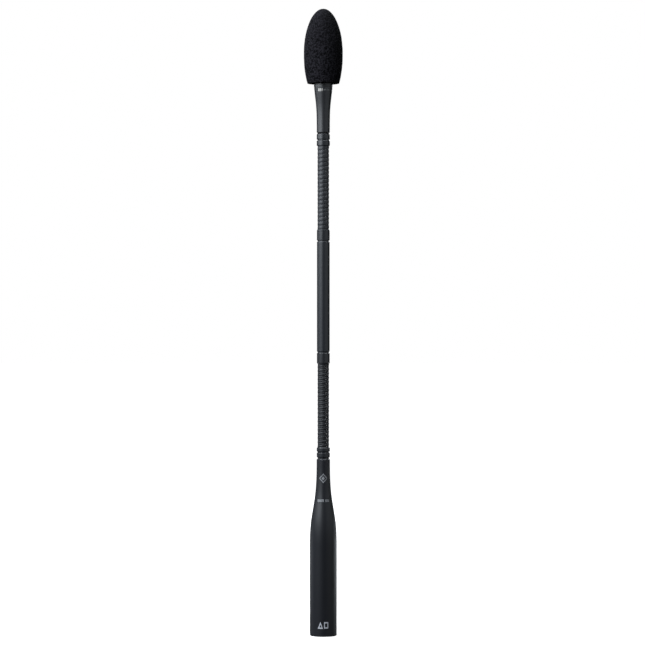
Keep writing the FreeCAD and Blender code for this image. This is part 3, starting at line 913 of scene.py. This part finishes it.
# %% The foam recipe
def pored_foam():
    """Sinks cells into a skin and stores their depth."""
    foam = Recipe(
        "pored_foam",
        {
            "Large Cell": "Float",
            "Small Cell": "Float",
            "Large Depth": "Float",
            "Small Depth": "Float",
            "Unevenness": "Float",
            "Finish": "Material",
        },
    )
    place = foam.place()

    def pits(size):
        """1 at the middle of each cell, 0 at its struts."""
        sockets = {"Vector": place, "Scale": 1 / size, "Randomness": 0.9}
        return 1 - foam.node("ShaderNodeTexVoronoi", {}, sockets, "Distance").above(0.1, 0.62)

    large = pits(foam.given("Large Cell"))
    small = pits(foam.given("Small Cell"))
    sway = foam.node("ShaderNodeTexNoise", {}, {"Vector": place, "Scale": 140.0, "Detail": 2.0})
    pitted = large * foam.given("Large Depth") + small * foam.given("Small Depth")
    sink = pitted + sway * foam.given("Unevenness")
    normal = foam.node("GeometryNodeInputNormal", {}, {})
    sockets = {0: normal, "Scale": 0 - sink}
    offset = foam.node("ShaderNodeVectorMath", {"operation": "SCALE"}, sockets)
    sunk = foam.node("GeometryNodeSetPosition", {}, {"Geometry": foam.given("Geometry"), "Offset": offset})
    depth = (large * 0.65 + small * 0.5).capped()
    stored = foam.store(sunk, "pore", depth)
    return foam.serve(foam.node("GeometryNodeSetShadeSmooth", {}, {"Geometry": stored}))


foam_recipe = pored_foam()
foam_sizes = {
    "Large Cell": 1.0 * MM,
    "Small Cell": 0.62 * MM,
    "Large Depth": 0.2 * MM,
    "Small Depth": 0.1 * MM,
    "Unevenness": 0.25 * MM,
    "Finish": foam_black,
}
windscreen = foam_recipe.make("windscreen", foam_sizes, skin)
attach(windscreen, "windscreen")
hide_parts("foam_windscreen")
print("windscreen of", len(windscreen.data.polygons), "faces")

# %% [markdown]
# ## Printed marks
#
# Pale grey marks are pad-printed on the metal: a short block and a fine line under the grille ring, a
# small device and a dashed line on the barrel's neck, and a line of signs round the barrel's foot. They
# are replaced by plain shapes that say nothing. Each is a thin film of ink. Its flat shape is drawn as
# small cells, and each cell's corners are laid on the metal by casting a ray at the part's own surface.


# %% Ink
def ink(name, colour, roughness=0.5):
    print_ink = Finish(name)
    speck = print_ink.noise(0.35, 3.0)
    print_ink.surface(
        Base_Color=print_ink.blend(speck.above(0.35, 0.75), colour, tuple(part * 0.6 for part in colour)),
        Roughness=roughness + speck * 0.15,
    )
    print_ink.bump(speck, 0.004, 0.5)
    return print_ink.material


pale_ink = ink("pale_ink", (0.62, 0.6, 0.56))
bright_ink = ink("bright_ink", (0.4, 0.41, 0.43))
white_ink = ink("white_ink", (0.86, 0.88, 0.95))
dim_ink = ink("dim_ink", (0.22, 0.22, 0.22))
INK_RISE = 0.03 * MM
INK_FILM = 0.05 * MM
INK_CELL = 0.4 * MM


# %% Lay a flat shape on the metal
def bar(x, z, width, height):
    """The corners of an upright rectangle round a centre, in millimetres."""
    left, right = x - width / 2, x + width / 2
    return [(left, z - height / 2), (right, z - height / 2), (right, z + height / 2), (left, z + height / 2)]


def printed(name, part, body, shapes, material):
    """A film of ink on the near side of a part. Shapes are lists of four corners, in millimetres."""
    metal = frame["nodes"][part]
    film = bmesh.new()
    for corners in shapes:
        width = abs(corners[1][0] - corners[0][0])
        columns = max(1, math.ceil(width * MM / INK_CELL))
        rows = max(1, math.ceil(abs(corners[3][1] - corners[0][1]) * MM / (INK_CELL * 2)))
        grid = []
        for row in range(rows + 1):
            line = []
            for column in range(columns + 1):
                u, v = column / columns, row / rows
                weights = ((1 - u) * (1 - v), u * (1 - v), u * v, (1 - u) * v)
                x, z = (sum(w * corner[axis] for w, corner in zip(weights, corners)) * MM for axis in (0, 1))
                hit, point, normal, _ = metal.ray_cast(Vector((x, -0.05, z)), Vector((0, 1, 0)))
                assert hit, f"{name} misses the metal"
                line.append(film.verts.new(point + normal * INK_RISE))
            grid.append(line)
        for lower, upper in zip(grid, grid[1:]):
            for index in range(columns):
                film.faces.new((lower[index], lower[index + 1], upper[index + 1], upper[index]))
    mesh = bpy.data.meshes.new(name)
    film.to_mesh(mesh)
    film.free()
    mesh.materials.append(material)
    mark = add_object(name, mesh)
    thickness = mark.modifiers.new("film", "SOLIDIFY")
    thickness.thickness = INK_FILM
    thickness.offset = -1
    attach(mark, body)
    print(name, "of", len(mesh.polygons), "cells")
    return mark


# %% Marks on the capsule housing
HOUSING_TOP_MM = top("capsule_housing") / MM
housing_line = HOUSING_TOP_MM - 1.9
BLOCK_BARS = [(-3.1, 0.9), (-2.0, 0.9), (-0.9, 0.7)]
block = [bar(across, housing_line, width, 1.9) for across, width in BLOCK_BARS]
printed("housing_mark_block", "capsule_housing", "capsule", block, pale_ink)
fine_marks = [bar(0.15 + 0.42 * index, housing_line, 0.26, 1.0) for index in range(11) if index != 5]
printed("housing_mark_line", "capsule_housing", "capsule", fine_marks, dim_ink)

# %% Marks on the barrel's neck
NECK_MARK_MM = 111.0


def outline(corners, line):
    """Strokes round a shape. line is the share of the way to its centre that they cover."""
    centre = [sum(corner[axis] for corner in corners) / len(corners) for axis in (0, 1)]
    inner = [tuple(p + (c - p) * line for p, c in zip(corner, centre)) for corner in corners]
    strokes = []
    for index in range(len(corners)):
        following = (index + 1) % len(corners)
        strokes.append([corners[index], corners[following], inner[following], inner[index]])
    return strokes


def lozenge(x, z, width, height, line):
    """Strokes round a diamond."""
    return outline([(x - width / 2, z), (x, z - height / 2), (x + width / 2, z), (x, z + height / 2)], line)


neck_device = lozenge(0.0, NECK_MARK_MM, 5.8, 6.8, 0.26) + lozenge(0.0, NECK_MARK_MM, 2.2, 2.8, 0.99)
printed("neck_mark_device", "base_housing", "base", neck_device, bright_ink)
neck_dashes = [bar(-3.6 + 0.9 * index, 95.4, 0.62, 1.8) for index in range(9) if index != 5]
printed("neck_mark_line", "base_housing", "base", neck_dashes, bright_ink)

# %% Marks round the barrel's foot
FOOT_MARK_MM = 8.2
triangle = [(-3.8, FOOT_MARK_MM - 2.4), (-0.3, FOOT_MARK_MM - 2.4), (-2.05, FOOT_MARK_MM + 2.4)]
foot_marks = outline(triangle, 0.5) + outline(bar(2.0, FOOT_MARK_MM, 2.9, 4.6), 0.4)
printed("barrel_mark_line", "base_housing", "base", foot_marks, white_ink)

# %% [markdown]
# ## Studio
#
# The microphone stands on a pale floor in a room that looks white but lights it only dimly and isn't
# mirrored in it, so the black parts stay black. Two soft lamps on the left draw the long highlight, and
# one behind lights the back. Four more lamps light the gloss alone: one on the right, one overhead for
# the upper edges, and two low, narrow ones for the faint lines beside the barrel's foot.

# %% Floor
floor_finish = Finish("floor")
east, north, _ = floor_finish.millimetres()
away = east.math("SQRT", east * east + north * north).above(250.0, 1600.0)
floor_finish.surface(
    Base_Color=floor_finish.blend(floor_finish.noise(400.0), (0.93, 0.93, 0.93), (0.95, 0.95, 0.95)),
    Roughness=0.9,
    Specular_IOR_Level=0.0,
    Emission_Color=floor_finish.blend(away, (0.85, 0.84, 0.83), (1.0, 1.0, 1.0)),
    Emission_Strength=1.0,
)
FLOOR_REACH = 12.0
floor_sheet = bmesh.new()
bmesh.ops.create_circle(floor_sheet, cap_ends=True, segments=96, radius=FLOOR_REACH)
floor_mesh = bpy.data.meshes.new("floor")
floor_sheet.to_mesh(floor_mesh)
floor_sheet.free()
floor_mesh.materials.append(floor_finish.material)
floor = add_object("floor", floor_mesh)
floor.visible_glossy = False
floor.visible_diffuse = False
print("floor")

# %% Room
room = bpy.data.worlds.new("white_room")
room.use_nodes = True
walls = Graph(room.node_tree)
seen = walls.node("ShaderNodeBackground", {}, {"Color": (1.0, 1.0, 1.0), "Strength": 1.0})
felt = walls.node("ShaderNodeBackground", {}, {"Color": (0.88, 0.94, 1.0), "Strength": 0.06})
by_eye = walls.node("ShaderNodeLightPath", {}, {}, "Is Camera Ray")
light = walls.node("ShaderNodeMixShader", {}, {0: by_eye, 1: felt, 2: seen})
walls.fill(walls.nodes["World Output"].inputs["Surface"], light)
room.cycles_visibility.glossy = False
bpy.context.scene.world = room
bpy.context.scene.view_settings.view_transform = "Standard"
print("room")


# %% Lamps
def lamp(name, place, aim, width, height, power):
    """A soft rectangular lamp that points at a place."""
    light = bpy.data.lights.new(name, "AREA")
    light.shape = "RECTANGLE"
    light.size = width
    light.size_y = height
    light.energy = power
    light.color = (0.88, 0.94, 1.0)
    holder = bpy.data.objects.new(name, light)
    bpy.context.scene.collection.objects.link(holder)
    holder.location = place
    holder.rotation_euler = (Vector(aim) - Vector(place)).to_track_quat("-Z", "Y").to_euler()
    holder.visible_camera = False
    return holder


lamp("key_lamp", (-0.77, -0.8, 0.66), (0, 0, 0.43), 0.85, 0.48, 12.0)
lamp("side_lamp", (-1.0, -0.1, 0.64), (0, 0, 0.43), 0.8, 0.45, 6.5)
lamp("back_lamp", (0.3, 1.3, 0.8), (0, 0, 0.25), 1.2, 0.6, 9.0)
gloss = [
    lamp("right_lamp", (0.95, -0.5, 0.36), (0, 0, 0.25), 1.6, 0.8, 3.0),
    lamp("overhead_lamp", (-0.1, -0.02, 1.3), (-0.1, 0, 0.25), 1.6, 0.7, 36.0),
    lamp("low_left_lamp", (-0.4, 0.22, 0.02), (0, 0, 0.02), 0.3, 0.03, 0.11),
    lamp("low_right_lamp", (0.36, 0.28, 0.02), (0, 0, 0.02), 0.3, 0.03, 0.2),
]
for holder in gloss:
    holder.visible_diffuse = False
print("seven lamps")

# %% Camera
SENSOR = 36.0
DISTANCE = 1.8
VIEW_WIDTH = HEIGHT * 1.029
view = bpy.data.cameras.new("camera")
view.sensor_width = SENSOR
view.lens = SENSOR * DISTANCE / VIEW_WIDTH
view.clip_end = 100.0
camera = bpy.data.objects.new("camera", view)
bpy.context.scene.collection.objects.link(camera)
camera.location = (-0.56 * MM, -DISTANCE, MIDDLE - 0.35 * MM)
camera.rotation_euler = (TURN / 4, 0, 0)
bpy.context.scene.camera = camera
print("lens", round(view.lens, 1), "mm")
